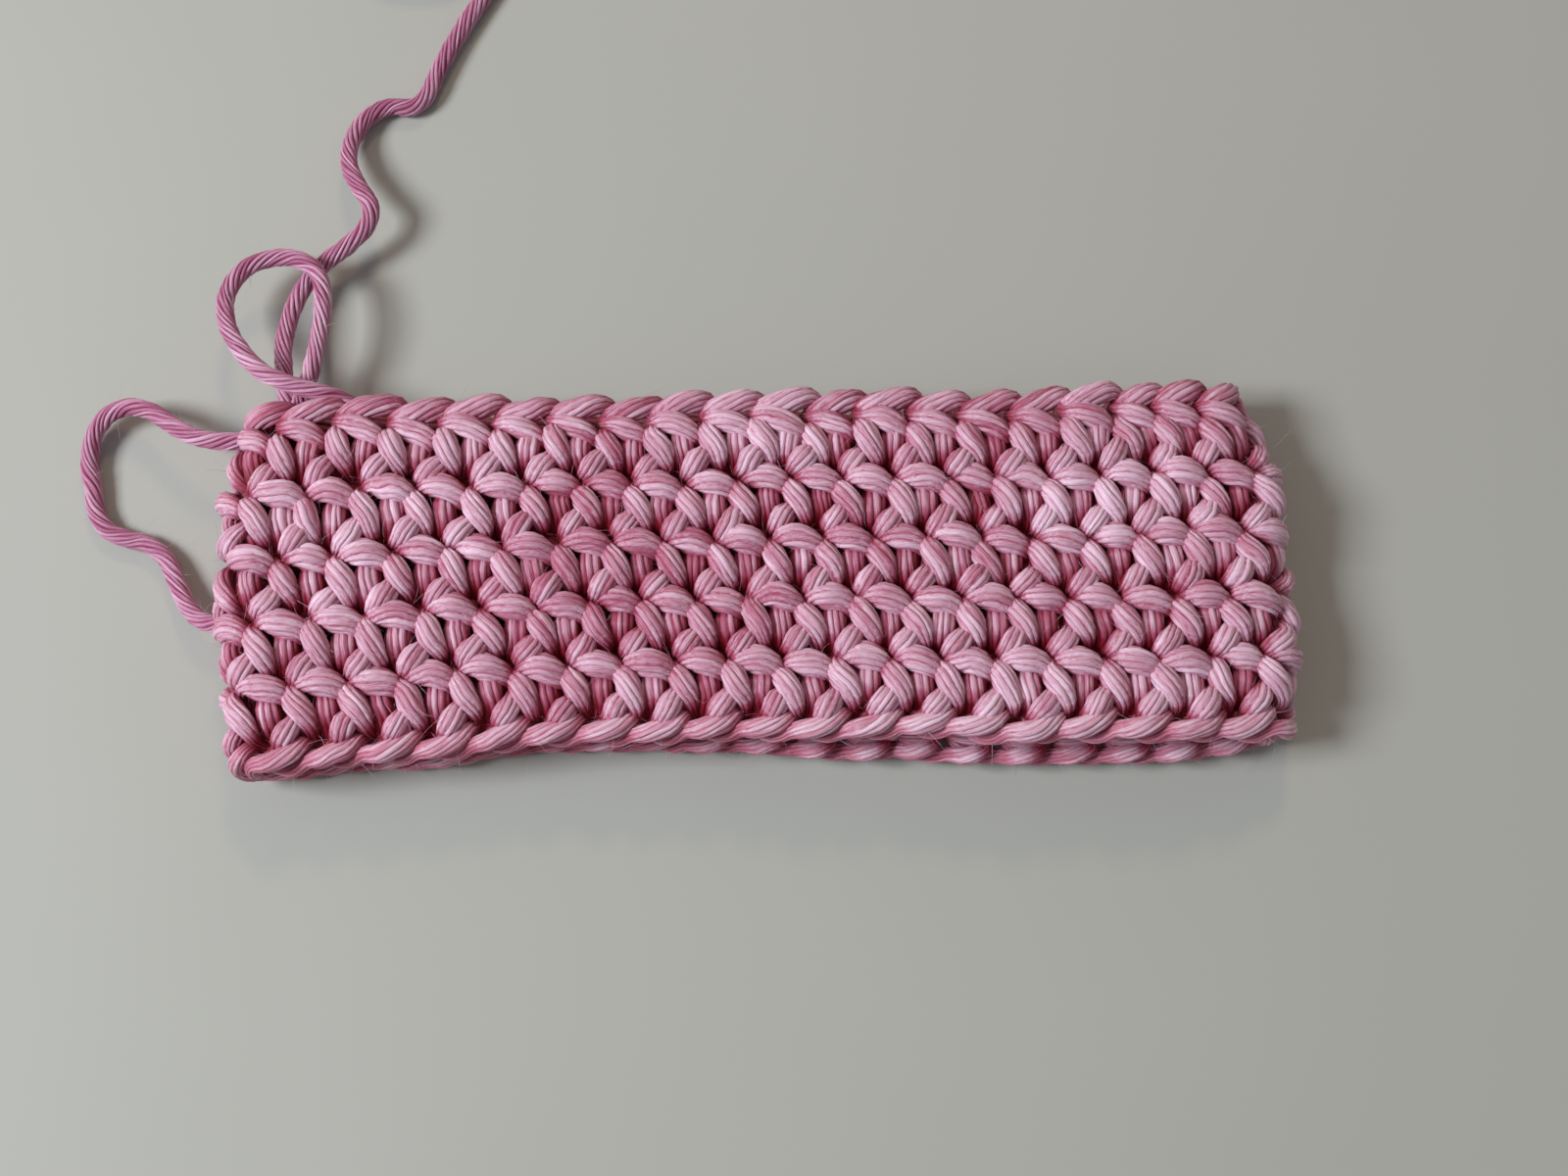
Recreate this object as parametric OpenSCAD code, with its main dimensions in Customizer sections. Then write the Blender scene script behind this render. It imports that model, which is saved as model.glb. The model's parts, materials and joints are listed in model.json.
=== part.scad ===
// Crocheted band: a short tube of single crochet worked in the round, lying flat.
// X runs along the flattened width, Y along the tube from the foundation chain to the
// top edge, and Z is up from the table. The origin is under the middle of the band.

/* [Band] */
// Width of the flattened band, over both folds
band_w = 108; // [96:1:130]
// Height of the foundation chain along the tube
chain_h = 3; // [2:0.5:4]
// Height of one round of single crochet
round_h = 6.2; // [5:0.1:7]
// Extra height of the chain of loops along the top edge
top_edge_h = 1.6; // [1:0.1:2.5]

/* [Fabric] */
// Thickness of one layer of the stitches
layer_t = 4.2; // [3.6:0.1:4.6]
// Thickness of the foundation chain
chain_t = 3.4; // [2.4:0.1:3.6]
// Space between the two layers where the band lies flat
layer_gap = 0.6; // [0.4:0.1:1]

/* [Yarn] */
// Diameter of the loose yarn
yarn_d = 1.9; // [1.5:0.1:2.2]
// Radius of the storage coil at the middle of its turns
coil_r = 10.6; // [9.5:0.1:11.5]
// Turns lying side by side in the coil
coil_turns = 4; // [3:1:4]

/* [Opening] */
// Distance of the four middle hinges from the centre line
mid_hinge_x = 17; // [15:0.5:19]
// Turn of each hinge when the tube is fully open
open_angle = 60; // [30:5:60]

/* [Hidden] */
$fn = 48;
round_count = 5;
band_h = chain_h + round_count * round_h + top_edge_h;
y_low = -band_h / 2;
z_back = layer_t / 2;
z_front = layer_t * 1.5 + layer_gap;
z_fold = (z_back + z_front) / 2;
fold_r = z_front - z_fold + layer_t / 2;       // outer radius of a fold
fold_x = band_w / 2 - fold_r;                  // centre of that radius
hinge_x = fold_x + (z_front - z_fold) * (PI / 2 - 1); // keeps the tube's girth in the hinged outline
mid_clear = 0.15;                              // slack between two layers' round ends
cap_mid = (layer_t / 2 + mid_clear) / cos(open_angle / 2);
cap_fold = cap_mid + 1.2;                      // panel ends stay clear of the fold piece
fold_flat_x = hinge_x + 0.15;                  // inner face of the fold piece
seam_gap = 0.1;                                // half the slit where the ring is left open
yarn_r = yarn_d / 2;
yarn_sides = 8;
coil_pitch = yarn_d + 0.05;
coil_half_w = coil_turns * coil_pitch / 2;
coil_h = 2 * yarn_d;
coil_centre = [-37, 84, 0];
pink = [0.87, 0.62, 0.72];
pale_pink = [0.91, 0.70, 0.78];
deep_pink = [0.80, 0.52, 0.64];

// Each panel of a round: name, the x of both ends, the height of its middle,
// and which ends are round because a hinge is there
PANELS = [
    ["back_middle", -mid_hinge_x + cap_mid, mid_hinge_x - cap_mid, z_back, true, true],
    ["back_right", mid_hinge_x + cap_mid, hinge_x - cap_fold, z_back, true, true],
    ["front_right", mid_hinge_x + cap_mid, hinge_x - cap_fold, z_front, true, true],
    ["front_middle_right", seam_gap, mid_hinge_x - cap_mid, z_front, false, true],
    ["back_left", -hinge_x + cap_fold, -mid_hinge_x - cap_mid, z_back, true, true],
    ["front_left", -hinge_x + cap_fold, -mid_hinge_x - cap_mid, z_front, true, true],
    ["front_middle_left", -mid_hinge_x + cap_mid, -seam_gap, z_front, true, false],
];
FOLDS = [["right_fold", 1], ["left_fold", -1]];
PIECES = concat([for (p = PANELS) p[0]], [for (f = FOLDS) f[0]]);

function chain_name(piece) = str("foundation_chain_", piece);
function round_name(n, piece) = str("round_", n, "_", piece);
function round_start(n) = y_low + chain_h + (n - 1) * round_h;
function round_end(n) = round_start(n + 1) + (n == round_count ? top_edge_h : 0);

// Routes of the loose yarn, from where it leaves the band
working_loop_route = [
    [-49.5, 18.2, 6.8], [-50.5, 21.5, 6.6], [-54, 24.5, 5.8], [-56, 28, 5.1],
    [-56.2, 31, 4.8], [-54.7, 33.7, 4.6], [-52, 35, 4.6], [-49, 34.8, 4.9],
    [-46.7, 33, 5.3], [-46, 30, 5.6], [-46.3, 26.5, 6], [-47, 22.5, 6.5], [-47.5, 18.2, 6.8],
];
working_yarn_route = [
    [-49.5, 18.2, 4.4], [-50.2, 22, 4.2], [-50.2, 26, 3.8], [-49.6, 30, 3.1],
    [-48.4, 33, 2.5], [-46.5, 35.2, 2.2], [-43.9, 37.2, 1.8], [-41.9, 39.5, 1.4],
    [-41.6, 41.8, 1.1], [-43.2, 44.4, 0.97], [-44.3, 47, 0.97], [-44.3, 49.8, 0.97],
    [-43, 52.6, 0.97], [-40.5, 54.1, 0.97], [-38, 54, 0.97], [-36.4, 55.3, 0.97],
    [-35.3, 58, 0.97], [-33.2, 62.3, 0.97], [-30.6, 66.8, 0.97], [-27.8, 71.6, 0.97],
    [-25.3, 76.2, 0.97], [-24, 79, 0.97],
];
starting_tail_route = [
    [-54.1, 14.5, 5.6], [-56.5, 14.6, 5.5], [-59, 15.3, 5.1], [-61.5, 16.8, 4.5],
    [-64, 18.5, 3.8], [-66.5, 19.3, 3], [-69, 18.6, 2.2], [-70.6, 16.4, 1.6],
    [-70.9, 13.6, 1.2], [-70.4, 10.9, 1], [-70, 8.6, 0.97], [-68.7, 6.5, 0.97],
    [-66.6, 5.5, 0.97], [-64.4, 4.9, 0.97], [-62.4, 3.3, 1.1], [-61, 0.6, 1.5],
    [-59.4, -2.3, 2.2], [-57.4, -4, 2.9], [-54.1, -4.5, 3.6],
];

function unit(v) = v / norm(v);
function along(route, i) =
    unit(route[min(i + 1, len(route) - 1)] - route[max(i - 1, 0)]);
function ring_point(route, i, turn) =
    let (ahead = along(route, i),
         side = unit(cross([0, 0, 1], ahead)),
         over = cross(ahead, side))
    route[i] + yarn_r * (cos(turn) * side + sin(turn) * over);

// A closed tube of yarn with a ring of corners at each point of its route
module yarn_tube(route) {
    rings = len(route);
    last = (rings - 1) * yarn_sides;
    corners = [for (i = [0:rings - 1], k = [0:yarn_sides - 1])
        ring_point(route, i, k * 360 / yarn_sides)];
    walls = [for (i = [0:rings - 2], k = [0:yarn_sides - 1])
        let (a = i * yarn_sides + k, b = i * yarn_sides + (k + 1) % yarn_sides)
        [a, a + yarn_sides, b + yarn_sides, b]];
    ends = [[for (k = [0:yarn_sides - 1]) k],
            [for (k = [yarn_sides - 1:-1:0]) last + k]];
    polyhedron(points = corners, faces = concat(walls, ends));
}

// Section of a flat panel, drawn in X and Z, with its round ends past x_from and x_to
module panel_section(x_from, x_to, z, thick, round_from, round_to) {
    translate([x_from, z - thick / 2]) square([x_to - x_from, thick]);
    if (round_from) translate([x_from, z]) circle(thick / 2);
    if (round_to) translate([x_to, z]) circle(thick / 2);
}

// Section of the turned edge of the band: the outer slice of a round bend
module fold_section(side, r) {
    intersection() {
        translate([side * fold_x, z_fold]) circle(r);
        translate([side > 0 ? fold_flat_x : -band_w, 0]) square([band_w - fold_flat_x, 4 * layer_t]);
    }
}

module pull_along_y(y_from, y_to) {
    translate([0, y_to, 0]) rotate([90, 0, 0]) linear_extrude(height = y_to - y_from) children();
}

module band_piece(piece, thick, y_from, y_to) {
    for (p = PANELS) if (p[0] == piece)
        pull_along_y(y_from, y_to) panel_section(p[1], p[2], p[3], thick, p[4], p[5]);
    for (f = FOLDS) if (f[0] == piece)
        pull_along_y(y_from, y_to) fold_section(f[1], fold_r - (layer_t - thick) / 2);
}

module foundation_chain(piece) {
    color(pale_pink) band_piece(piece, chain_t, y_low, y_low + chain_h);
}

module crochet_round(n, piece) {
    color(n % 2 == 0 ? pink : pale_pink)
        band_piece(piece, layer_t, round_start(n), round_end(n));
}

module working_loop() {
    color(deep_pink) yarn_tube(working_loop_route);
}

module working_yarn() {
    color(deep_pink) yarn_tube(working_yarn_route);
}

module working_yarn_coil() {
    color(deep_pink) translate(coil_centre) rotate_extrude()
        translate([coil_r - coil_half_w, 0]) square([2 * coil_half_w, coil_h]);
}

module starting_tail() {
    color(deep_pink) yarn_tube(starting_tail_route);
}

for (piece = PIECES)
    foundation_chain(piece);
for (n = [1:round_count], piece = PIECES)
    crochet_round(n, piece);
working_loop();
working_yarn();
working_yarn_coil();
starting_tail();
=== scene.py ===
"""The looks of a flattened crocheted band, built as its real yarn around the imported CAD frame.

Lengths are in millimetres up to the moment a mesh or camera is made, and MM turns them into metres. The
yarn of a round is one path of stitches, mapped from the unrolled band: s around it, v up it and w out of
it.
"""

import json
import math

import bpy
import numpy as np
from mathutils import Matrix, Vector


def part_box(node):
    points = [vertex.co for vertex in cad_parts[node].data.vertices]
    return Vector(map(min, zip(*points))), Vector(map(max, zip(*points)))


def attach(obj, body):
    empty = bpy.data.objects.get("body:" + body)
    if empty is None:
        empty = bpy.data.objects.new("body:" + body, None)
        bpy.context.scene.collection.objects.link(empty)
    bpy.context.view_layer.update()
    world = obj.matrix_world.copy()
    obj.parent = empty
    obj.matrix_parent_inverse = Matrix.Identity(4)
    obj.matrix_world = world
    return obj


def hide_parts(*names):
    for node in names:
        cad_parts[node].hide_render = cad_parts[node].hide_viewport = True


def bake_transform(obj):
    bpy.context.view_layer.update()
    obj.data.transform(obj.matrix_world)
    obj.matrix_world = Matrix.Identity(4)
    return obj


MM = 0.001

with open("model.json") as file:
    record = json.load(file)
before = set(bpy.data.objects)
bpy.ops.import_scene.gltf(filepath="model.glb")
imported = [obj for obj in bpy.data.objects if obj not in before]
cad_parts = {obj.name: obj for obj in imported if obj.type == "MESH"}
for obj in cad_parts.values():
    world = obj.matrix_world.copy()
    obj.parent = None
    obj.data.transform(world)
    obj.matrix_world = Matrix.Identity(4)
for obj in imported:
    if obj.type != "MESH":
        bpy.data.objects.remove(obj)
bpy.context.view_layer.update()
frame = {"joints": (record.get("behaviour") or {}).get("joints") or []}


def node_box(node):
    """Lowest and highest corner of a CAD node, in millimetres."""
    low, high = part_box(node)
    return np.array(low) / MM, np.array(high) / MM


def hinge_of(name):
    """Place of a CAD joint, in millimetres."""
    joint = next(j for j in frame["joints"] if j["name"] == name)
    return np.array(joint["pos_m"]) / MM


# ---------------------------------------------------------------- sizes, from the frame
ROUNDS = 5
STITCHES = 40  # stitches in one round
BACK_LOW, BACK_HIGH = node_box("round_1_back_middle")
FRONT_LOW, FRONT_HIGH = node_box("round_1_front_right")
LAYER_T = BACK_HIGH[2] - BACK_LOW[2]
Z_BACK = (BACK_LOW[2] + BACK_HIGH[2]) / 2
Z_FRONT = (FRONT_LOW[2] + FRONT_HIGH[2]) / 2
Z_FOLD = (Z_BACK + Z_FRONT) / 2
BEND_R = (Z_FRONT - Z_BACK) / 2  # radius of the middle of the fabric in a fold
HALF_W = node_box("round_1_right_fold")[1][0]
FOLD_X = HALF_W - BEND_R - LAYER_T / 2
GIRTH = 4 * FOLD_X + 2 * math.pi * BEND_R
PITCH = GIRTH / STITCHES
Y_LOW = node_box("foundation_chain_back_middle")[0][1]
Y_HIGH = node_box("round_5_back_middle")[1][1]
BASE = [node_box(f"round_{n}_back_middle")[0][1] for n in range(1, ROUNDS + 1)]
ROUND_H = BASE[1] - BASE[0]

YARN_D = 1.9  # loose yarn
YARN_R = YARN_D / 2
STITCH_R = 1.12  # the yarn spreads where it is worked, and lies flatter
STITCH_FLAT = 0.84
PLIES = 10
LOOSE_TWIST = 11.5  # length of one turn of the plies
WORKED_TWIST = 27.0  # working the yarn opens its twist
WORKED_RING_STEP = 0.62  # distance between rings of corners
LOOSE_RING_STEP = 0.5
WORKED_CURVE_STEPS = 7  # steps of the curve between two points of a stitch, before the rings are spaced
LOOSE_CURVE_STEPS = 10
SHADE_FROM = 1.8  # corners nearer than this to the middle of the fabric start to take painted shade
SHADE_FULL = 0.25  # and corners nearer than this take all of it
SINK = 1.15  # the first round lies this much lower than its CAD panel, on a chain thinner than its own
ROUND_MORE = 0.1  # each round is this much higher than its CAD panel
PRESSED = 0.5  # how far the lower layer's outer face is pressed flat by its own weight
ROUND_SHIFT = 2.1  # each round's holes lie this far right of those below
FIRST_HOLE = 1.5  # place of the top round's first hole along s


# ---------------------------------------------------------------- camera
SENSOR_WIDTH = 36


def look_from(target, elevation, roll, distance, frame_width):
    """A camera that looks down on target from the -Y side; the object appears turned by roll degrees."""
    e, r = math.radians(elevation), math.radians(roll)
    ahead = np.array([0, math.cos(e), -math.sin(e)])
    right = np.array([1.0, 0, 0])
    up = np.cross(right, ahead)
    side = right * math.cos(r) - up * math.sin(r)
    top = right * math.sin(r) + up * math.cos(r)
    place = np.array(target) - ahead * distance
    data = bpy.data.cameras.new("camera")
    data.sensor_width = SENSOR_WIDTH
    data.lens = SENSOR_WIDTH * distance / frame_width
    camera = bpy.data.objects.new("camera", data)
    rows = [[side[i], top[i], -ahead[i], place[i] * MM] for i in range(3)]
    camera.matrix_world = Matrix(rows + [[0, 0, 0, 1]])
    bpy.context.scene.collection.objects.link(camera)
    bpy.context.scene.camera = camera


look_from(target=(2.0, -1.8, 4.5), elevation=77, roll=1.0, distance=205, frame_width=160)


# ---------------------------------------------------------------- curves
def spline(points, per_gap):
    """Catmull-Rom curve through points, with per_gap steps between two of them."""
    p = np.asarray(points, float)
    ends = np.concatenate([[2 * p[0] - p[1]], p, [2 * p[-1] - p[-2]]])
    t = np.linspace(0, 1, per_gap, endpoint=False)[:, None]
    a, b, c, d = (ends[i : len(p) - 1 + i, None, :] for i in range(4))
    square = (2 * a - 5 * b + 4 * c - d) * t**2
    cube = (3 * b - a - 3 * c + d) * t**3
    curve = 0.5 * (2 * b + (c - a) * t + square + cube)
    return np.concatenate([curve.reshape(-1, p.shape[1]), p[-1:]])


def evenly(columns, step):
    """The rows again, step apart along their first three columns, and how far along each lies."""
    gaps = np.linalg.norm(np.diff(columns[:, :3], axis=0), axis=1)
    along = np.concatenate([[0], np.cumsum(gaps)])
    at = np.linspace(0, along[-1], max(2, round(along[-1] / step) + 1))
    return np.stack([np.interp(at, along, columns[:, k]) for k in range(columns.shape[1])], axis=1), at


def frames_along(line):
    """Direction and two sides at each point, turned as little as possible from one to the next."""
    ahead = np.gradient(line, axis=0)
    ahead /= np.linalg.norm(ahead, axis=1)[:, None]
    first = np.cross(ahead[0], [0.3, 0.2, 1.0])
    sides = np.empty_like(line)
    side = first / np.linalg.norm(first)
    for i, t in enumerate(ahead):
        side = side - t * (side @ t)
        side /= math.sqrt(side @ side)
        sides[i] = side
    return ahead, sides, np.cross(ahead, sides)


def rising(value, start, end):
    """0 on the far side of start, 1 past end, and smooth between them; end may lie below start."""
    t = np.clip((value - start) / (end - start), 0, 1)
    return t * t * (3 - 2 * t)


# ---------------------------------------------------------------- yarn
# The corners of one ply, from the valley before it towards the next valley.
CORNER_PLACE = np.array([0, 0.16, 0.5, 0.84])
CORNER_REACH = (0.93, 1.0, 0.93)  # radius of the corners after the valley
# share of each corner in the groove between plies, which takes painted shade and does not swell
CORNER_GROOVE = np.array([1.0, 0.18, 0.0, 0.18])
THINNEST_PLY = 0.78
THICKEST_PLY = 1.22
WORKED_VALLEY = 0.82  # radius of the valleys between plies
LOOSE_VALLEY = 0.73
PLY_DRIFT = 0.165  # radians by which a ply wanders around the yarn
PLY_SWELL = 0.055  # share by which a ply swells and thins
TONE_SPREAD = 0.16  # how much plies differ in tone
SWELL_TONE = 0.8  # how much paler a ply is where it swells, against that difference


def ply_profile(valley, rng):
    """For each corner around the yarn: its angle, radius, share in a groove, and the number of its ply."""
    width = rng.uniform(THINNEST_PLY, THICKEST_PLY, PLIES)
    start = np.concatenate([[0], np.cumsum(width)]) * 2 * math.pi / width.sum()
    ply = np.repeat(np.arange(PLIES), len(CORNER_PLACE))
    place = np.tile(np.arange(len(CORNER_PLACE)), PLIES)
    angle = start[ply] + CORNER_PLACE[place] * np.diff(start)[ply]
    radius = np.array([valley, *CORNER_REACH])[place]
    return angle, radius, CORNER_GROOVE[place], ply


def tube_faces(rings, around):
    """Corner numbers of the walls and of the two ends of a closed tube of rings."""
    corner = np.arange(rings * around).reshape(rings, around)
    a, b = corner[:-1], corner[1:]
    walls = np.stack([a, np.roll(a, -1, 1), np.roll(b, -1, 1), b], axis=-1).reshape(-1, 4)
    return walls, [corner[0, ::-1], corner[-1]]


def slow_waves(rng, at, count, shortest, longest):
    """For each ply, the mean of count sine waves along the yarn, each between shortest and longest."""
    phase = rng.uniform(0, 2 * math.pi, (count, PLIES))
    length = rng.uniform(shortest, longest, (count, PLIES))
    return sum(np.sin(2 * math.pi * at[:, None] / length[k] + phase[k]) for k in range(count)) / count


class Yarn:
    """Rings of corners along a line of yarn, from which pieces are cut.

    Each ring has a place along the yarn (at), a radius, the outward direction of the fabric (normal) and how
    much painted shade its colour takes. In the fabric it also has a height over the fabric's middle, and a
    share of painted shade that it takes on where it lies low between the two faces, where shade falls.
    """

    def __init__(
        self, line, at, radius, normal, twist, valley, painted_shade, seed, height=None, shade_share=None, flat=1.0
    ):
        rng = np.random.default_rng(seed)
        ahead, one, two = frames_along(line)
        angle, reach, groove, ply = ply_profile(valley, rng)
        drift = PLY_DRIFT * slow_waves(rng, at, count=3, shortest=3.5, longest=11)
        turn = angle[None, :] - (2 * math.pi * at / twist)[:, None] + drift[:, ply]
        out = one[:, None, :] * np.cos(turn)[..., None] + two[:, None, :] * np.sin(turn)[..., None]
        ripple = slow_waves(rng, at, count=2, shortest=5, longest=14)
        size = radius[:, None] * reach[None, :] * (1 + PLY_SWELL * ripple[:, ply] * (1 - groove))
        offset = out * size[..., None]
        lift = (offset * normal[:, None, :]).sum(-1, keepdims=True) * normal[:, None, :]
        offset = offset - lift * (1 - flat)
        self.points = line[:, None, :] + offset
        across = np.cos(angle) * radius[:, None]
        over = np.sin(angle) * radius[:, None]
        self.fibre = np.stack([across, over, np.broadcast_to(at[:, None], size.shape)], axis=-1)
        tone = rng.normal(0, 1, PLIES)
        self.tone = 0.5 + TONE_SPREAD * np.clip(tone[ply][None, :] + SWELL_TONE * ripple[:, ply], -2, 2)
        self.groove = np.broadcast_to(groove, size.shape)
        self.painted_shade = np.broadcast_to(painted_shade[:, None], size.shape)
        if height is not None:  # painted shade on corners that lie low between the two faces of the fabric
            corner_height = height[:, None] + (offset * normal[:, None, :]).sum(-1)
            low_shade = shade_share[:, None] * rising(np.abs(corner_height), SHADE_FROM, SHADE_FULL)
            self.painted_shade = np.maximum(self.painted_shade, low_shade)
        self.ahead = ahead
        self.out = out

    def cut(self, first, last):
        """Corners, walls, ends and values at corners of the stretch from ring first to ring last."""
        keep = slice(first, last + 1)
        walls, caps = tube_faces(*self.points[keep].shape[:2])
        values = {
            "yarn": self.fibre[keep].reshape(-1, 3),
            "tone": self.tone[keep].reshape(-1),
            "groove": self.groove[keep].reshape(-1),
            "painted_shade": self.painted_shade[keep].reshape(-1),
        }
        return self.points[keep].reshape(-1, 3), walls, caps, values


HAIR_RINGS = 6
HAIR_SIDES = 3
HAIR_R = 0.02  # at its root
HAIR_THINNER = 0.7  # share that it loses towards its tip
HAIR_ROOT = 0.12  # depth of its root in the yarn
SHORTEST_HAIR = 0.5
LONGEST_HAIR = 2.9
HAIR_TONE = 0.8  # hairs are paler than most plies


def fuzz(yarn, first, last, count, seed):
    """Stray fibres that stand off the yarn, as rings of corners of thin curled hairs."""
    rng = np.random.default_rng(seed)
    angle = np.arange(HAIR_SIDES) * 2 * math.pi / HAIR_SIDES
    t = np.linspace(0, 1, HAIR_RINGS)[:, None]
    width = HAIR_R * (1 - HAIR_THINNER * t)[..., None]
    meshes = []
    for _ in range(count):
        ring = rng.integers(first, last)
        corner = rng.integers(yarn.points.shape[1])
        start, out, ahead = yarn.points[ring, corner], yarn.out[ring, corner], yarn.ahead[ring]
        length = rng.uniform(SHORTEST_HAIR, LONGEST_HAIR)
        # A hair leans out of the yarn, along it either way, and a little to any side.
        lean = out * rng.uniform(0.25, 0.9) + ahead * rng.normal(0, 1) + rng.normal(0, 0.35, 3)
        lean /= np.linalg.norm(lean)
        curl = rng.normal(0, 0.25, 3)
        line = start - out * HAIR_ROOT + (lean * t + curl * t**2) * length
        line[:, 2] = np.maximum(line[:, 2], HAIR_R)  # hairs stay above the table
        _, one, two = frames_along(line)
        side = one[:, None, :] * np.cos(angle)[:, None] + two[:, None, :] * np.sin(angle)[:, None]
        meshes.append(line[:, None, :] + width * side)
    return meshes


def yarn_object(name, stretches, material, hairs=()):
    """One mesh object of cut stretches of yarn, and of stray fibres."""
    points, quads, caps, start = [], [], [], 0
    values = {"yarn": [], "tone": [], "groove": [], "painted_shade": []}
    valley_lines, rims = [], []
    for corners, walls, ends, more in stretches:
        points.append(corners)
        quads.append(walls + start)
        caps += [end + start for end in ends]
        for key, rows in more.items():
            values[key].append(rows)
        valley_lines.append(more["groove"] > 0.5)
        rims.append(np.isin(np.arange(len(corners)), np.concatenate(ends)))
        start += len(corners)
    for rings in hairs:
        walls, ends = tube_faces(*rings.shape[:2])
        corners = rings.reshape(-1, 3)
        points.append(corners)
        quads.append(walls + start)
        caps += [end + start for end in ends]
        values["yarn"].append(corners)
        values["tone"].append(np.full(len(corners), HAIR_TONE))
        values["groove"].append(np.zeros(len(corners)))
        values["painted_shade"].append(np.zeros(len(corners)))
        valley_lines.append(np.zeros(len(corners), bool))
        rims.append(np.zeros(len(corners), bool))
        start += len(corners)
    quads = np.concatenate(quads)
    sizes = np.concatenate([np.full(len(quads), 4), [len(c) for c in caps]]).astype(np.int32)
    loops = np.concatenate([quads.reshape(-1), *caps]).astype(np.int32)
    mesh = bpy.data.meshes.new(name)
    mesh.vertices.add(start)
    mesh.vertices.foreach_set("co", (np.concatenate(points) * MM).astype(np.float32).reshape(-1))
    mesh.loops.add(len(loops))
    mesh.loops.foreach_set("vertex_index", loops)
    mesh.polygons.add(len(sizes))
    mesh.polygons.foreach_set("loop_start", np.concatenate([[0], np.cumsum(sizes)[:-1]]).astype(np.int32))
    mesh.polygons.foreach_set("loop_total", sizes)
    mesh.update(calc_edges=True)
    mesh.polygons.foreach_set("use_smooth", np.ones(len(sizes), bool))
    for key, rows in values.items():
        kind = "FLOAT_VECTOR" if key == "yarn" else "FLOAT"
        attribute = mesh.attributes.new(key, kind, "POINT")
        data = np.concatenate(rows).astype(np.float32).reshape(-1)
        attribute.data.foreach_set("vector" if key == "yarn" else "value", data)
    valley, rim = np.concatenate(valley_lines), np.concatenate(rims)
    ends = np.zeros(len(mesh.edges) * 2, np.int32)
    mesh.edges.foreach_get("vertices", ends)
    ends = ends.reshape(-1, 2)
    sharp = (valley[ends[:, 0]] & valley[ends[:, 1]]) | (rim[ends[:, 0]] & rim[ends[:, 1]])
    mesh.attributes.new("sharp_edge", "BOOLEAN", "EDGE").data.foreach_set("value", sharp)
    mesh.materials.append(material)
    mesh.validate()
    piece = bpy.data.objects.new(name, mesh)
    bpy.context.scene.collection.objects.link(piece)
    return piece


# ---------------------------------------------------------------- materials
# What makes the cotton deeper in colour, as shares of the way from its palest to its darkest colour: an even
# share, and painted shade where the yarn lies low in the stitches.
EVERYWHERE = 0.28
PAINTED_SHADE_SHARE = 0.95
# And what makes it vary both ways.
# fine fibre streaks: fibres that differ in tone, and painted sheen along the plies where the streaks reach
# the palest colour
FIBRE_AND_SHEEN_SHARE = 1.0
TONE_SHARE = 0.4
CLOUD_SHARE = 0.5
FIBRES_ACROSS = 12
FIBRES_ALONG = 0.6


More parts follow.
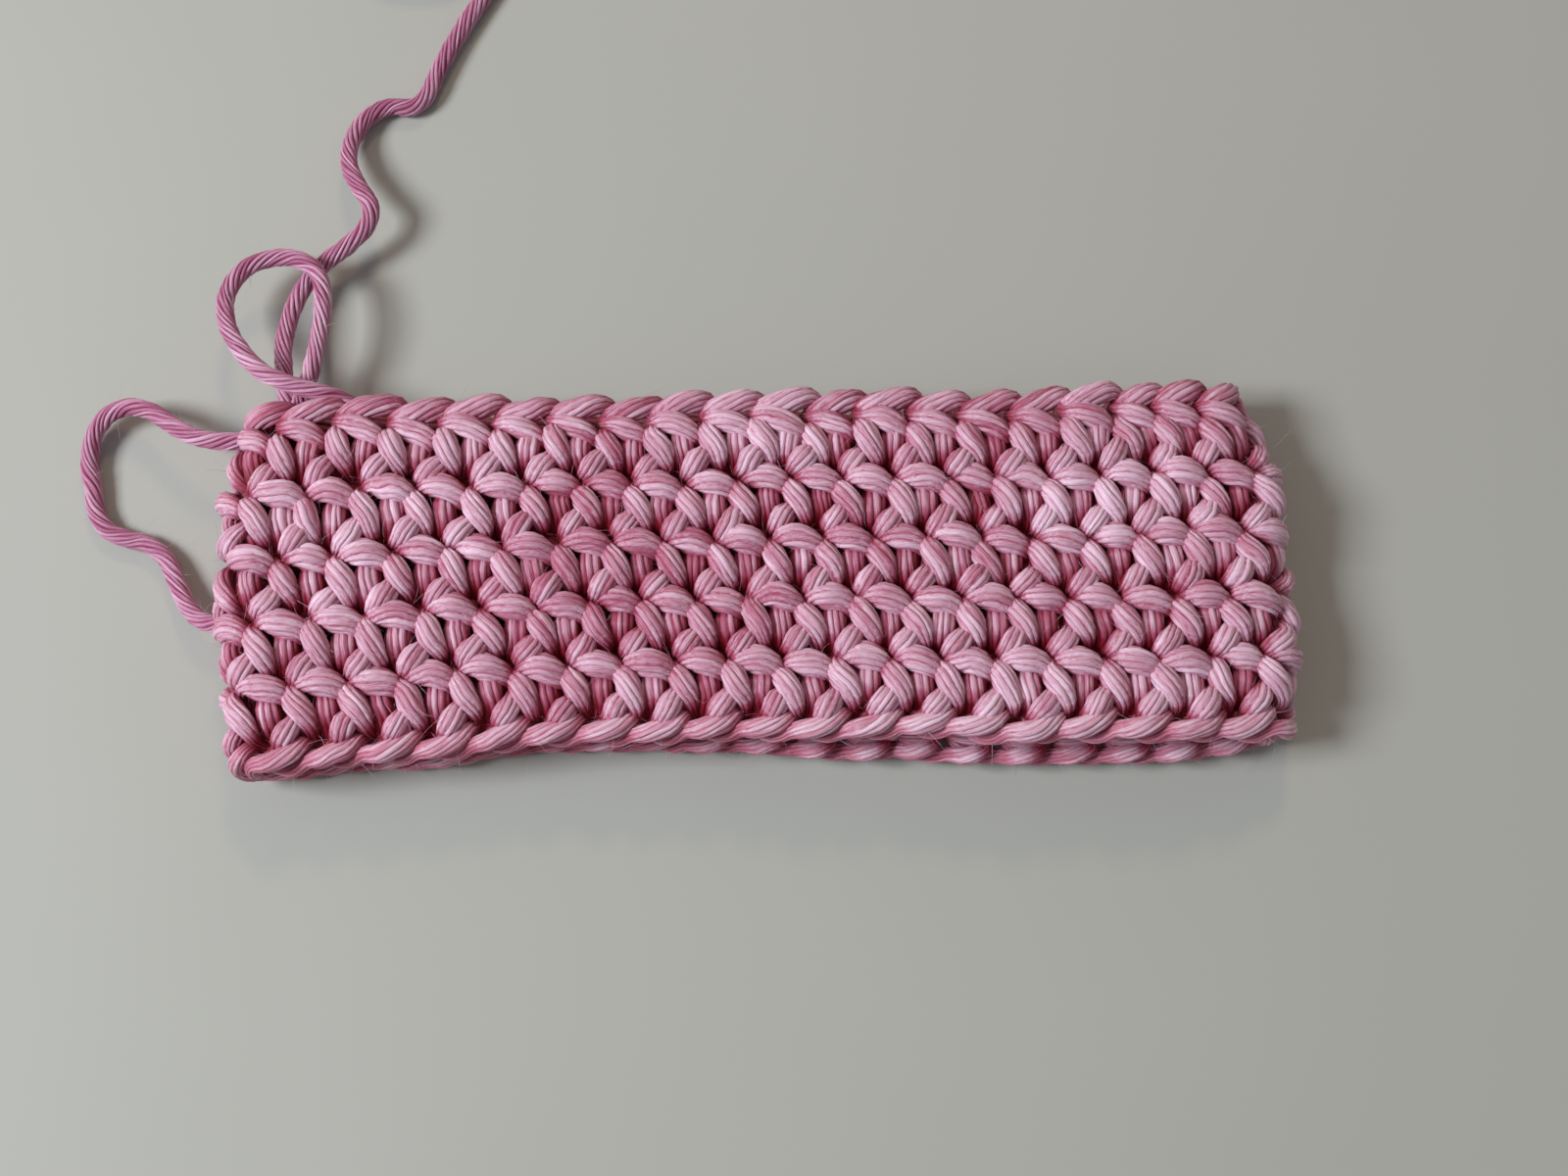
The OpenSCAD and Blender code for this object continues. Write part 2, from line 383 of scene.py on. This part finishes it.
def cotton(name, light, middle, painted_shade, groove_shade_share):
    """Plied cotton with fine fibres: painted shade between the plies and inside the stitches, and painted
    sheen in pale fibre streaks.
    """
    material = bpy.data.materials.new(name)
    material.use_nodes = True
    tree = material.node_tree
    nodes, link = tree.nodes, tree.links.new
    shader = nodes["Principled BSDF"]
    shader.inputs["Roughness"].default_value = 0.5
    shader.inputs["Specular IOR Level"].default_value = 0.4
    shader.inputs["Sheen Weight"].default_value = 0.3
    shader.inputs["Sheen Roughness"].default_value = 0.35
    shader.inputs["Sheen Tint"].default_value = (1.0, 0.82, 0.9, 1)

    def value_of(attribute):
        node = nodes.new("ShaderNodeAttribute")
        node.attribute_name = attribute
        return node

    def math_node(operation, a, b):
        node = nodes.new("ShaderNodeMath")
        node.operation = operation
        for i, x in enumerate((a, b)):
            if isinstance(x, (int, float)):
                node.inputs[i].default_value = x
            else:
                link(x, node.inputs[i])
        return node.outputs[0]

    fibre_place = nodes.new("ShaderNodeMapping")
    fibre_place.inputs["Scale"].default_value = (FIBRES_ACROSS, FIBRES_ACROSS, FIBRES_ALONG)
    link(value_of("yarn").outputs["Vector"], fibre_place.inputs["Vector"])
    fibres = nodes.new("ShaderNodeTexNoise")
    fibres.inputs["Scale"].default_value = 1.0
    fibres.inputs["Detail"].default_value = 4
    fibres.inputs["Roughness"].default_value = 0.65
    link(fibre_place.outputs["Vector"], fibres.inputs["Vector"])
    blotch = nodes.new("ShaderNodeTexNoise")
    blotch.inputs["Scale"].default_value = 60
    blotch.inputs["Detail"].default_value = 2
    coordinates = nodes.new("ShaderNodeTexCoord")
    link(coordinates.outputs["Object"], blotch.inputs["Vector"])

    def both_ways(output, share):
        return math_node("MULTIPLY", math_node("SUBTRACT", output, 0.5), share)

    # painted shade in the grooves between plies and where the yarn lies low in the fabric, added to an even
    # share
    groove = math_node("MULTIPLY", value_of("groove").outputs["Fac"], groove_shade_share)
    inside = math_node("MULTIPLY", value_of("painted_shade").outputs["Fac"], PAINTED_SHADE_SHARE)
    deeper = math_node("ADD", math_node("ADD", groove, inside), EVERYWHERE)
    fine = both_ways(fibres.outputs["Fac"], FIBRE_AND_SHEEN_SHARE)
    tone = both_ways(value_of("tone").outputs["Fac"], TONE_SHARE)
    cloud = both_ways(blotch.outputs["Fac"], CLOUD_SHARE)
    mix_by = math_node("SUBTRACT", deeper, math_node("ADD", math_node("ADD", fine, tone), cloud))
    ramp = nodes.new("ShaderNodeValToRGB")
    ramp.color_ramp.elements[0].position = 0.0
    ramp.color_ramp.elements[0].color = (*light, 1)
    ramp.color_ramp.elements[1].position = 1.0
    ramp.color_ramp.elements[1].color = (*painted_shade, 1)
    ramp.color_ramp.elements.new(0.5).color = (*middle, 1)
    link(mix_by, ramp.inputs["Fac"])
    link(ramp.outputs["Color"], shader.inputs["Base Color"])
    bump = nodes.new("ShaderNodeBump")
    bump.inputs["Strength"].default_value = 0.5
    bump.inputs["Distance"].default_value = 0.12 * MM
    link(fibres.outputs["Fac"], bump.inputs["Height"])
    link(bump.outputs["Normal"], shader.inputs["Normal"])
    return material


STITCH_COTTON = cotton(
    "stitch_cotton",
    light=(1.0, 0.72, 0.86),
    middle=(0.47, 0.10, 0.18),
    painted_shade=(0.25, 0.003, 0.018),
    groove_shade_share=0.15,
)
# a paler copy of the stitch cotton for the foundation chain: painted light on the lower edge
LIT_EDGE_COTTON = cotton(
    "lit_edge_cotton",
    light=(1.0, 0.78, 0.89),
    middle=(0.58, 0.18, 0.27),
    painted_shade=(0.28, 0.004, 0.03),
    groove_shade_share=0.15,
)
# loose yarn takes more painted shade in the grooves between its plies than worked yarn
LOOSE_COTTON = cotton(
    "loose_cotton",
    light=(1.0, 0.70, 0.87),
    middle=(0.47, 0.13, 0.25),
    painted_shade=(0.18, 0.003, 0.035),
    groove_shade_share=0.42,
)


# ---------------------------------------------------------------- loose yarn
WORKING_LOOP = [
    (-41.6, 17.6, 5.8), (-43.7, 18.6, 6.6), (-46.1, 19.3, 7.2), (-49.1, 20.2, 7.4), (-52.1, 21.9, 7.1),
    (-54.6, 24.9, 6.3), (-56.1, 28, 5.3), (-56.2, 31, 4.9), (-54.7, 33.7, 4.7), (-52, 35, 4.6),
    (-49, 34.8, 4.9), (-46.7, 33, 5.2), (-45.9, 30, 5.5), (-46.1, 26.3, 5.6), (-46.8, 22.7, 5.3),
    (-47.6, 20.2, 5.0), (-48.4, 17.2, 4.9),
]
WORKING_YARN = [
    (-49.2, 16, 3.4), (-49.5, 18.2, 3.6), (-50.1, 22, 3.8), (-50.3, 26, 3.7), (-49.6, 30, 3.1),
    (-48.4, 33, 2.7), (-46.5, 35, 3.1), (-43.9, 36.8, 3.6), (-41.9, 38.9, 3.9), (-41.6, 41.2, 3.9),
    (-43.2, 43.9, 3.4), (-44.3, 46.6, 2.7), (-44.3, 49.6, 1.8), (-43, 52.5, 1.2), (-40.5, 54.1, 0.97),
    (-38, 54, 0.97), (-36.4, 55.3, 0.97), (-35.3, 58, 0.97), (-33.2, 62.3, 0.97), (-30.6, 66.8, 0.97),
    (-27.8, 71.6, 0.97), (-25.3, 76.2, 0.97),
]
STARTING_TAIL = [
    (-52.4, 14.5, 5.4), (-54.1, 14.5, 5.6), (-56.5, 14.6, 5.5), (-59, 15.3, 5.1), (-61.5, 16.8, 4.5),
    (-64, 18.5, 3.8), (-66.5, 19.3, 3), (-69, 18.6, 2.2), (-70.6, 16.4, 1.6), (-70.9, 13.6, 1.2),
    (-70.4, 10.9, 1), (-70, 8.6, 0.97), (-68.7, 6.5, 0.97), (-66.6, 5.5, 0.97), (-64.4, 4.9, 0.97),
    (-62.4, 3.3, 1.1), (-61, 0.6, 1.5), (-59.4, -2.3, 2.2), (-57.4, -4, 2.9), (-54.1, -4.5, 3.6),
    (-52.4, -4.6, 3.8),
]
COIL_CENTRE = (-37.0, 84.0)
COIL_MID_R = 10.6
COIL_PITCH = YARN_D + 0.05
COIL_TURNS = 4  # turns in each of the two layers
COIL_START = -18  # angle in degrees at which the yarn reaches the coil
COIL_POINTS = 24  # points in one turn
COIL_LIFT = 0.02  # clearance over the table


def coil():
    """Points of a neat round coil: one layer wound inwards on the table, then one outwards on top of it."""
    outer = COIL_MID_R + (COIL_TURNS - 1) / 2 * COIL_PITCH
    layer = COIL_TURNS - 0.5  # turns before the yarn starts back outwards
    turn = np.linspace(0, layer + COIL_TURNS, int(COIL_POINTS * (layer + COIL_TURNS)))
    inward = np.minimum(turn, layer)
    outward = np.maximum(turn - layer, 0)
    radius = outer - COIL_PITCH * (inward - outward) * (COIL_TURNS - 1) / layer
    height = YARN_R + COIL_LIFT + rising(turn, layer - 0.25, layer + 0.25) * (YARN_D - COIL_LIFT)
    angle = math.radians(COIL_START) + 2 * math.pi * turn
    x = COIL_CENTRE[0] + radius * np.cos(angle)
    y = COIL_CENTRE[1] + radius * np.sin(angle)
    return np.stack([x, y, height], axis=1)


LOOSE_DEPTH = 0.12  # how far loose yarn goes from its palest towards its darkest colour, evenly all over


def loose_yarn(name, route, nodes, seed, hairs):
    """A loose stretch of yarn along its route, as a strand and its stray fibres."""
    line, at = evenly(spline(route, LOOSE_CURVE_STEPS), LOOSE_RING_STEP)
    up = np.broadcast_to([0.0, 0, 1], line.shape)
    radius = np.full(len(line), YARN_R)
    # loose yarn gets this even value all along, and no painted shade from where it lies
    painted_shade = np.full(len(line), LOOSE_DEPTH)
    yarn = Yarn(line, at, radius, up, LOOSE_TWIST, LOOSE_VALLEY, painted_shade, seed)
    last = len(line) - 1
    piece = yarn_object(f"{name}_strand", [yarn.cut(0, last)], LOOSE_COTTON)
    fibres = yarn_object(f"{name}_fibres", [], LOOSE_COTTON, fuzz(yarn, 1, last, hairs, seed + 1))
    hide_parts(*nodes)
    return piece, fibres


loop = loose_yarn("working_loop", WORKING_LOOP, ["working_loop"], 11, 40)
tail = loose_yarn("starting_tail", STARTING_TAIL, ["starting_tail"], 12, 60)
for made in loop + tail:
    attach(made, "left_fold")
yarn_route = WORKING_YARN + [tuple(p) for p in coil()]
yarn_nodes = ["working_yarn", "working_yarn_coil"]
for made in loose_yarn("working_yarn", yarn_route, yarn_nodes, 13, 90):
    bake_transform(made)


# ---------------------------------------------------------------- the band's surface
def section(s):
    """Point and outward direction, in X and Z, of the middle of the fabric at s along the girth."""
    s = np.mod(s, GIRTH)
    bend = math.pi * BEND_R
    starts = [0, FOLD_X, FOLD_X + bend, 3 * FOLD_X + bend, 3 * FOLD_X + 2 * bend]
    part = np.searchsorted(starts, s, side="right") - 1
    flat_front = (part == 0) | (part == 4)
    x = np.where(part == 0, s, np.where(part == 4, s - GIRTH, 0.0))
    x = np.where(part == 2, 2 * FOLD_X + bend - s, x)
    z = np.where(flat_front, Z_FRONT, Z_BACK)
    nx = np.zeros_like(s)
    nz = np.where(flat_front, 1.0, -1.0)
    for at, side, first in ((1, 1, math.pi / 2), (3, -1, -math.pi / 2)):
        angle = first - (s - starts[at]) / BEND_R
        here = part == at
        nx = np.where(here, np.cos(angle), nx)
        nz = np.where(here, np.sin(angle), nz)
        x = np.where(here, side * FOLD_X + BEND_R * np.cos(angle), x)
        z = np.where(here, Z_FOLD + BEND_R * np.sin(angle), z)
    return x, z, nx, nz


# How the soft band really lies, against the straight CAD band.
LOWER_ARCH = 0.8  # the lower edge rises this much a little left of the middle
ARCH_X = -18
ARCH_WIDTH = 14
LEFT_DROP = 2.1  # and lies this much lower at the left end
LEFT_BULGE = 1.9  # the left end bulges out
EDGES_SHORTER = 0.012  # share by which the upper and lower edges are shorter than the middle
UPPER_RIGHT_IN = 0.9  # the right end leans in towards the top
CORNER_ROUND = 1.9  # and its upper corner is rounded off
RIGHT_UP = 0.4  # the upper edge lies this much higher at the right end
RIGHT_DOWN = 0.5  # and the lower edge this much lower
MOUTH = 1.5  # at the lower right the front layer stands up and the back layer comes forward by this much


def lie_down(x, y, z, front):
    """Points of the straight band, moved to where they lie on the soft one; front > 0 on the upper layer."""
    up = (y - Y_LOW) / (Y_HIGH - Y_LOW)
    down = 1 - up
    arch = LOWER_ARCH * np.exp(-(((x - ARCH_X) / ARCH_WIDTH) ** 2))
    y = y + (arch - LEFT_DROP * rising(x, -10, -50)) * down
    to_edge = np.abs(y) / Y_HIGH
    shorter = EDGES_SHORTER * x * rising(to_edge, 0.45, 1.05)
    x = x - shorter - UPPER_RIGHT_IN * rising(x, 30, 54) * up**2
    x = x - LEFT_BULGE * rising(x, -20, -54) * (1 - 0.5 * to_edge**2)
    x = x - CORNER_ROUND * rising(x, 34, 52) * rising(y / Y_HIGH, 0.35, 0.85)
    y = y + rising(x, 12, 52) * (RIGHT_UP * up**2 - RIGHT_DOWN * down)
    mouth = MOUTH * rising(x, -16, 18) * rising(x, 52, 38) * down**2
    y = y - np.where(front > 0, 0, mouth)
    z = z + np.where(front > 0, mouth, 0)
    y = y + 0.22 * np.sin(x / 7.3 + 0.6) + 0.15 * np.sin(x / 3.1 + y / 5)  # the rounds wander a little
    return x, y, z


def on_band(suw):
    """Points of the unrolled band (s, v, w) in space, and the outward direction of the fabric there."""
    s, v, w = suw.T
    x, z, nx, nz = section(s)
    front = np.where(np.abs(nx) > 0.01, np.sign(nz) * (1 - np.abs(nx)), np.sign(nz))
    w = np.where(w > 0, w * (1 - PRESSED * rising(-nz, 0, 1)), w)
    px, py, pz = lie_down(x + nx * w, v, z + nz * w, front)
    return np.stack([px, py, pz], axis=1), np.stack([nx, np.zeros_like(nx), nz], axis=1)


# ---------------------------------------------------------------- stitches
# One single crochet, from its hole at (0, 0): along s, up v, out w, and how full the yarn is there.
SINGLE_CROCHET = [
    (1.25, 0.00, -0.75, 0.58),  # through the hole from behind
    (1.40, 0.05, 0.10, 0.62),
    (1.95, 0.55, 1.05, 1.00),  # right leg
    (2.70, 1.30, 1.32, 1.16),
    (3.35, 2.20, 0.80, 0.92),
    (3.80, 3.20, -0.45, 0.85),  # under the next stitch's left leg
    (2.60, 4.80, -0.75, 0.90),
    (0.60, 5.40, -0.60, 0.90),  # behind its own top
    (-1.40, 5.60, -0.25, 0.75),
    (-2.15, 5.10, 0.50, 0.80),  # left leg
    (-1.75, 4.10, 1.25, 1.12),
    (-1.10, 2.75, 1.35, 1.14),
    (-0.62, 1.50, 0.75, 0.86),
    (-0.50, 0.75, -0.30, 0.60),  # back into the hole
    (0.35, 0.55, -1.20, 0.70),
    (0.80, 1.35, -0.50, 0.95),  # up behind the two legs
    (1.00, 2.40, 0.30, 1.20),
    (1.10, 3.70, 0.50, 1.24),
    (1.50, 4.95, -0.15, 1.00),
    (2.90, 4.35, 0.20, 0.80),  # front loop of the top
    (1.90, 5.20, 1.02, 1.22),
    (0.55, 5.75, 1.18, 1.34),
    (-0.75, 5.90, 0.85, 1.02),
    (-1.60, 5.55, 0.05, 0.62),
    (-2.10, 5.75, -0.75, 0.72),  # turns into the back loop
    (-1.40, 6.15, -1.05, 0.95),
    (0.20, 6.35, -1.05, 1.05),
    (2.10, 6.00, -1.05, 1.05),
    (3.45, 4.50, -0.85, 1.00),  # down the back to the next hole
    (3.20, 3.10, -0.40, 1.05),
    (3.90, 1.60, -0.15, 1.10),
    (4.75, 0.55, -1.05, 0.85),
]
# Points of the stitch that differ in the last round, whose top is the edge.
LAST_ROUND = {
    9: (-1.95, 5.00, 0.50, 0.80),
    19: (2.55, 3.85, 0.20, 0.80),
    20: (1.70, 4.60, 0.90, 1.08),
    21: (0.40, 5.40, 1.05, 1.20),
    22: (-0.85, 5.90, 0.95, 1.04),
    23: (-1.95, 6.10, 0.50, 0.75),
    24: (-2.10, 6.50, 0.05, 0.75),
    25: (-1.05, 6.95, 0.60, 1.00),
    26: (0.60, 7.40, 0.70, 1.15),
    27: (2.40, 8.00, 0.50, 1.08),
    28: (3.75, 7.95, -0.20, 0.84),
    29: (4.35, 6.30, -0.95, 0.74),
}
# One link of the foundation chain. It starts behind the link before it, where a cut between pieces is hidden.
CHAIN_LINK = [
    (-4.98, -0.25, -0.80, 0.60),
    (-4.98, -0.90, -0.80, 0.60),
    (-3.98, -1.30, -0.95, 0.80),
    (-2.83, -1.50, -0.85, 0.84),
    (-1.83, -1.48, -0.30, 0.74),
    (-0.95, -1.30, 0.40, 0.74),
    (0.30, -1.30, 0.86, 0.92),
    (1.60, -1.05, 0.98, 0.96),
    (2.90, -0.55, 0.88, 0.92),
    (3.95, 0.25, 0.50, 0.72),
    (4.25, 0.50, -0.20, 0.60),
    (3.10, 0.20, -0.85, 0.78),
    (1.40, 0.00, -0.90, 0.80),
]


POINT_WOBBLE = 0.55  # how far single points of a stitch stray, as a share of what the whole stitch does
FULL_WOBBLE = 0.03  # share by which stitches differ in how full the yarn is
EDGE_FROM = 6.2  # height in the last round where its top, the edge, starts
EDGE_FULL = 7.1
EDGE_OPEN = 0.75  # share of its painted shade that this open top loses, lying out in the light
FOLD_OPEN = 0.5  # and share of painted shade that the fabric loses where a fold turns to the side light
PINCH_SHADE = 0.8  # painted shade on the yarn where stitches pinch it down into the holes
PINCH_FROM = 0.85  # fullness below which yarn counts as pinched
PINCH_FULL = 0.55


def round_of_yarn(template, first_hole, base, seed, wobble, shade_share):
    """The yarn of one whole round: each stitch's own small differences, then one smooth line on the band."""
    shape = np.array(template)
    rows = []
    for i in range(STITCHES + 1):
        stitch = shape.copy()
        own = np.random.default_rng([seed, i % STITCHES])
        stitch[:, :3] += own.normal(0, wobble, 3) + own.normal(0, wobble * POINT_WOBBLE, (len(shape), 3))
        stitch[:, 3] *= 1 + own.normal(0, FULL_WOBBLE)
        stitch[:, 0] += first_hole + i * PITCH
        stitch[:, 1] += base
        rows.append(stitch)
    control = np.concatenate(rows)[: STITCHES * len(shape) + 1]
    dense = spline(control, WORKED_CURVE_STEPS)
    placed, normal = on_band(dense[:, :3])
    number = np.linspace(0, STITCHES, len(dense))
    carried = np.column_stack([placed, normal, dense[:, 3], dense[:, 2], number, dense[:, 1] - base])
    columns, at = evenly(carried, WORKED_RING_STEP)
    line, normal = columns[:, :3], columns[:, 3:6]
    full, height, number, upward = columns[:, 6:].T
    # painted shade: less on the open top edge and on the folds, more where stitches pinch the yarn
    shade_share = shade_share * (1 - EDGE_OPEN * rising(upward, EDGE_FROM, EDGE_FULL))
    shade_share = shade_share * (1 - FOLD_OPEN * np.abs(normal[:, 0]))
    painted_shade = PINCH_SHADE * rising(full, PINCH_FROM, PINCH_FULL)
    own_seed = np.random.default_rng(seed).integers(1 << 30)
    radius = STITCH_R * full
    twist, valley = WORKED_TWIST, WORKED_VALLEY
    yarn = Yarn(line, at, radius, normal, twist, valley, painted_shade, own_seed, height, shade_share, flat=STITCH_FLAT)
    return yarn, number


HINGE_X = hinge_of("back_right_hinge")[0]
BEND_HALF = 13.0  # half the width of the fabric that takes up the bend of a middle hinge
FOLD_START = 42.0  # distance from the middle at which a fold's bend starts
FOLD_REACH = 5.1  # and how far it goes, outwards and towards the other layer alike


def across_middle(side, z):
    """Start and end of the bend at a hinge between two flat panels."""
    return (side * (HINGE_X - BEND_HALF), 0, z), (side * (HINGE_X + BEND_HALF), 0, z)


def across_fold(side, up):
    """Start and end of a bend on a slope, reaching outwards and towards the other layer alike."""
    start = (side * FOLD_START, 0, Z_FOLD + up * BEND_R)
    end = (side * (FOLD_START + FOLD_REACH), 0, Z_FOLD + up * (BEND_R - FOLD_REACH))
    return start, end


# Regions between the middles of the panels: name, the bodies on both sides of its hinge, where the bend
# starts and ends, and the panels whose CAD nodes it stands for.
REGIONS = [
    (
        "front_middle_right",
        "front_middle_right",
        "front_right",
        across_middle(1, Z_FRONT),
        ["front_middle_right"],
    ),
    ("front_right", "front_right", "right_fold", across_fold(1, 1), ["front_right"]),
    ("right_fold", "back_right", "right_fold", across_fold(1, -1), ["right_fold"]),
    ("back_right", "back_middle", "back_right", across_middle(1, Z_BACK), ["back_right"]),
    ("back_middle", "back_middle", "back_left", across_middle(-1, Z_BACK), ["back_middle"]),
    ("back_left", "back_left", "left_fold", across_fold(-1, -1), ["back_left"]),
    ("left_fold", "front_left", "left_fold", across_fold(-1, 1), ["left_fold"]),
    (
        "front_left",
        "front_middle_left",
        "front_left",
        across_middle(-1, Z_FRONT),
        ["front_left", "front_middle_left"],
    ),
]
PANEL_MIDDLE = (HINGE_X + hinge_of("right_fold_upper_hinge")[0]) / 2
QUARTER = GIRTH / 4
HALF = GIRTH / 2
REGION_STARTS = [0, PANEL_MIDDLE, QUARTER, HALF - PANEL_MIDDLE, HALF]
REGION_STARTS += [HALF + PANEL_MIDDLE, 3 * QUARTER, GIRTH - PANEL_MIDDLE]
STITCH_MIDDLE = 0.1  # place of a stitch's middle after its hole, in stitches
FOLD_HAIRS = 2  # times as many hairs on the folds, whose outline shows them


def cut_into_regions(prefix, yarn, number, first_hole, material, seed, hairs):
    """Cuts a round's yarn between stitches, one piece for each region, with its stray fibres, and hides the
    panels it stands for.
    """
    middle = first_hole + (np.arange(STITCHES) + STITCH_MIDDLE) * PITCH
    region_of = np.searchsorted(REGION_STARTS, middle, side="right") - 1
    for k, (region, body_a, body_b, (start, end), panels) in enumerate(REGIONS):
        mine = np.flatnonzero(region_of == k)
        first, last = (int(ring) for ring in np.searchsorted(number, [mine[0], mine[-1] + 1]))
        last = min(last, len(number) - 1)
        count = hairs * len(mine) * (FOLD_HAIRS if "fold" in region else 1)
        stray = fuzz(yarn, first, last, count, seed + k)
        piece = yarn_object(f"{prefix}_{region}_stitches", [yarn.cut(first, last)], material, stray)
        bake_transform(piece)
        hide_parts(*[f"{prefix}_{panel}" for panel in panels])


def hole_of(number):
    """Place along s of the first hole of a round, from 0 to one stitch."""
    return (FIRST_HOLE + (number - ROUNDS) * ROUND_SHIFT) % PITCH


def foundation_chain():
    """The chain along the lower edge, which shares its holes with the first round."""
    hole = hole_of(1)
    # the chain takes less painted shade than the rounds
    yarn, number = round_of_yarn(CHAIN_LINK, hole, BASE[0] - SINK, seed=100, wobble=0.08, shade_share=0.35)
    cut_into_regions("foundation_chain", yarn, number, hole, LIT_EDGE_COTTON, 1000, hairs=10)


def crochet_round(n):
    """Round n of single crochet, counted from the chain."""
    changes = LAST_ROUND if n == ROUNDS else {}
    template = [changes.get(i, row) for i, row in enumerate(SINGLE_CROCHET)]
    base = BASE[n - 1] - SINK + ROUND_MORE * (n - 1)
    hole = hole_of(n)
    hair_seed = 1000 * (n + 1)
    yarn, number = round_of_yarn(template, hole, base, seed=100 + n, wobble=0.15, shade_share=1.0)
    cut_into_regions(f"round_{n}", yarn, number, hole, STITCH_COTTON, hair_seed, hairs=26)


foundation_chain()
for n in range(1, ROUNDS + 1):
    crochet_round(n)


# ---------------------------------------------------------------- table and light
def table_top():
    """A plain pale table, which is no part of the object."""
    bpy.ops.mesh.primitive_plane_add(size=6)
    table = bpy.context.object
    table.name = "table_top"
    material = bpy.data.materials.new("table_top")
    material.use_nodes = True
    nodes, link = material.node_tree.nodes, material.node_tree.links.new
    shader = nodes["Principled BSDF"]
    shader.inputs["Roughness"].default_value = 0.55
    shader.inputs["Specular IOR Level"].default_value = 0.25
    noise = nodes.new("ShaderNodeTexNoise")
    noise.inputs["Scale"].default_value = 14
    noise.inputs["Detail"].default_value = 3
    ramp = nodes.new("ShaderNodeValToRGB")
    ramp.color_ramp.elements[0].color = (0.46, 0.45, 0.40, 1)
    ramp.color_ramp.elements[1].color = (0.50, 0.49, 0.44, 1)
    coordinates = nodes.new("ShaderNodeTexCoord")
    link(coordinates.outputs["Object"], noise.inputs["Vector"])
    link(noise.outputs["Fac"], ramp.inputs["Fac"])
    link(ramp.outputs["Color"], shader.inputs["Base Color"])
    table.data.materials.append(material)


def area_light(name, place, size, power, colour):
    """A soft light that faces the middle of the band."""
    data = bpy.data.lights.new(name, "AREA")
    data.size = size
    data.energy = power
    data.color = colour
    light = bpy.data.objects.new(name, data)
    light.location = place
    light.rotation_euler = (-light.location).to_track_quat("-Z", "Y").to_euler()
    bpy.context.scene.collection.objects.link(light)


table_top()
area_light("window_light", place=(-0.50, -0.02, 0.44), size=0.22, power=4.25, colour=(0.86, 0.93, 1.0))
area_light("lamp", place=(0.10, 0.80, 0.72), size=0.15, power=1.5, colour=(1.0, 0.70, 0.42))
world = bpy.data.worlds.new("studio")
world.use_nodes = True
world.node_tree.nodes["Background"].inputs["Color"].default_value = (0.93, 0.95, 1.0, 1)
world.node_tree.nodes["Background"].inputs["Strength"].default_value = 0.25
bpy.context.scene.world = world
bpy.context.scene.view_settings.view_transform = "Standard"
